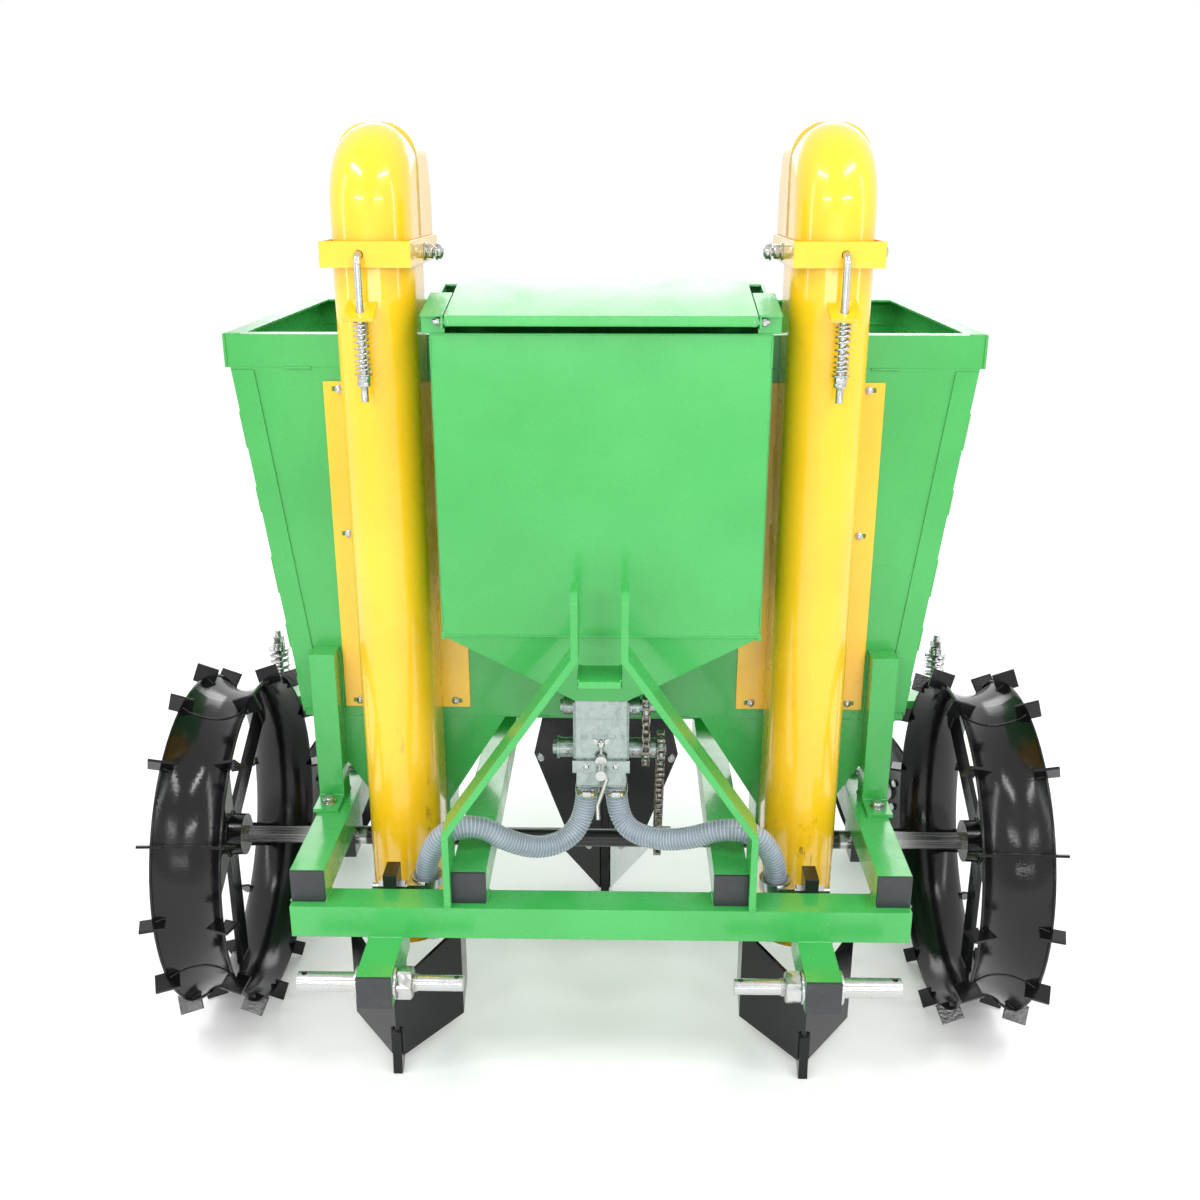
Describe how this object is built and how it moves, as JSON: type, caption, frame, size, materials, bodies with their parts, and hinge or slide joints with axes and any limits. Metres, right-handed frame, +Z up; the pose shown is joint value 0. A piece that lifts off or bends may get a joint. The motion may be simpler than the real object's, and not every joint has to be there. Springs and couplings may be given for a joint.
{
  "type": "potato planter",
  "caption": "Tractor-mounted two-row potato planter with cup belts in tall ducts, lugged wheels, a fertiliser hopper with hoses, furrow openers and covering discs.",
  "frame": {"origin": "centre of the footprint's bounding box, on the ground the wheels stand on", "axes": "+X along the axle to the machine's right seen from the tractor, +Y to the rear, +Z up"},
  "size_m": [1.3496, 0.96, 1.385],
  "materials": {
    "green_paint": "gloss",
    "yellow_paint": "gloss",
    "black_paint": "gloss",
    "zinc_plate": "satin",
    "galvanised_steel": "satin",
    "chain_steel": "satin",
    "cap_plastic": "matte",
    "roller_plastic": "matte",
    "belt_rubber": "matte",
    "hose_pvc": "gloss"
  },
  "bodies": {
    "frame": {"axle_bearings": "black_paint", "belt_cups": "zinc_plate", "boots": "green_paint", "cap_collars": "yellow_paint", "centre_ridger": "black_paint", "cup_belts": "belt_rubber", "disc_pivot_pins": "zinc_plate", "duct_bolts": "zinc_plate", "duct_caps": "yellow_paint", "fertiliser_hopper": "green_paint", "frame_bolts": "zinc_plate", "front_crossbeam": "green_paint", "furrow_openers": "black_paint", "gate_screw": "zinc_plate", "hex_nuts": "zinc_plate", "hitch_arms": "green_paint", "hook_springs": "zinc_plate", "hopper_divider": "green_paint", "hopper_posts": "green_paint", "hopper_rim": "green_paint", "hose_clamps": "zinc_plate", "hose_rings": "zinc_plate", "inner_rails": "green_paint", "left_disc_spring": "zinc_plate", "left_hose": "hose_pvc", "lower_link_pins": "zinc_plate", "mast_bars": "green_paint", "mast_spacer": "green_paint", "metering_housing": "galvanised_steel", "outer_rails": "green_paint", "outlet_box": "galvanised_steel", "potato_hopper": "green_paint", "rear_toolbar": "green_paint", "ridger_shares": "zinc_plate", "right_disc_spring": "zinc_plate", "right_hose": "hose_pvc", "roller_bolts": "zinc_plate", "roller_chains": "chain_steel", "seed_ducts": "yellow_paint", "tension_hooks": "zinc_plate", "tube_end_caps": "cap_plastic"},
    "running_gear": {"drive_axle": "zinc_plate", "drive_sprocket": "black_paint", "lower_belt_drums": "black_paint", "wheel_hubs": "black_paint", "wheel_lugs": "black_paint", "wheel_treads": "black_paint"},
    "left_roller": {"left_top_roller": "roller_plastic"},
    "right_roller": {"right_top_roller": "roller_plastic"},
    "metering_rotor": {"metering_shaft": "galvanised_steel"},
    "agitator": {"agitator_shaft": "galvanised_steel"},
    "lid": {"fertiliser_lid": "green_paint", "lid_hinge_rod": "zinc_plate"},
    "lever": {"rate_lever": "zinc_plate"},
    "left_arm": {"left_disc_arm": "black_paint"},
    "right_arm": {"right_disc_arm": "black_paint"},
    "left_disc": {"left_covering_disc": "black_paint"},
    "right_disc": {"right_covering_disc": "black_paint"},
    "left_rod": {"left_pull_rod": "zinc_plate"},
    "right_rod": {"right_pull_rod": "zinc_plate"}
  },
  "joints": [
    {"name": "axle_spin", "type": "hinge", "parent": "frame", "child": "running_gear", "pos_m": [0, -0.117, 0.28025], "axis": [1, 0, 0], "continuous": true},
    {"name": "left_roller_spin", "type": "hinge", "parent": "frame", "child": "left_roller", "pos_m": [-0.3125, -0.117, 1.215], "axis": [1, 0, 0], "continuous": true},
    {"name": "right_roller_spin", "type": "hinge", "parent": "frame", "child": "right_roller", "pos_m": [0.3125, -0.117, 1.215], "axis": [1, 0, 0], "continuous": true},
    {"name": "metering_spin", "type": "hinge", "parent": "frame", "child": "metering_rotor", "pos_m": [0, -0.215, 0.492], "axis": [1, 0, 0], "continuous": true},
    {"name": "agitator_spin", "type": "hinge", "parent": "frame", "child": "agitator", "pos_m": [0, -0.215, 0.561], "axis": [1, 0, 0], "continuous": true},
    {"name": "lid_hinge", "type": "hinge", "parent": "frame", "child": "lid", "pos_m": [0, -0.282, 1.135], "axis": [1, 0, 0], "range_deg": [0, 100]},
    {"name": "rate_lever_turn", "type": "hinge", "parent": "frame", "child": "lever", "pos_m": [0, -0.278, 0.478], "axis": [0, 1, 0], "range_deg": [-25, 25]},
    {"name": "left_disc_lift", "type": "hinge", "parent": "frame", "child": "left_arm", "pos_m": [-0.61, 0.241, 0.34], "axis": [1, 0, 0], "range_deg": [0, 12], "stiffness_Nm_per_rad": 40},
    {"name": "left_disc_spin", "type": "hinge", "parent": "left_arm", "child": "left_disc", "pos_m": [-0.57, 0.313, 0.15], "axis": [-0.9063, 0.4226, 0], "continuous": true},
    {"name": "left_rod_slide", "type": "slide", "parent": "frame", "child": "left_rod", "axis": [0, 0, 1], "range_m": [-0.0088, 0], "deforming": ["left_disc_spring"]},
    {"name": "right_disc_lift", "type": "hinge", "parent": "frame", "child": "right_arm", "pos_m": [0.61, 0.241, 0.34], "axis": [1, 0, 0], "range_deg": [0, 12], "stiffness_Nm_per_rad": 40},
    {"name": "right_disc_spin", "type": "hinge", "parent": "right_arm", "child": "right_disc", "pos_m": [0.57, 0.313, 0.15], "axis": [0.9063, 0.4226, 0], "continuous": true},
    {"name": "right_rod_slide", "type": "slide", "parent": "frame", "child": "right_rod", "axis": [0, 0, 1], "range_m": [-0.0088, 0], "deforming": ["right_disc_spring"]}
  ],
  "couplings": [
    {"joint": "left_roller_spin", "follows": "axle_spin", "ratio": 1},
    {"joint": "right_roller_spin", "follows": "axle_spin", "ratio": 1},
    {"joint": "metering_spin", "follows": "axle_spin", "ratio": 1},
    {"joint": "agitator_spin", "follows": "axle_spin", "ratio": 1},
    {"joint": "left_rod_slide", "follows": "left_disc_lift", "m_per_rad": -0.041},
    {"joint": "right_rod_slide", "follows": "right_disc_lift", "m_per_rad": -0.041}
  ]
}
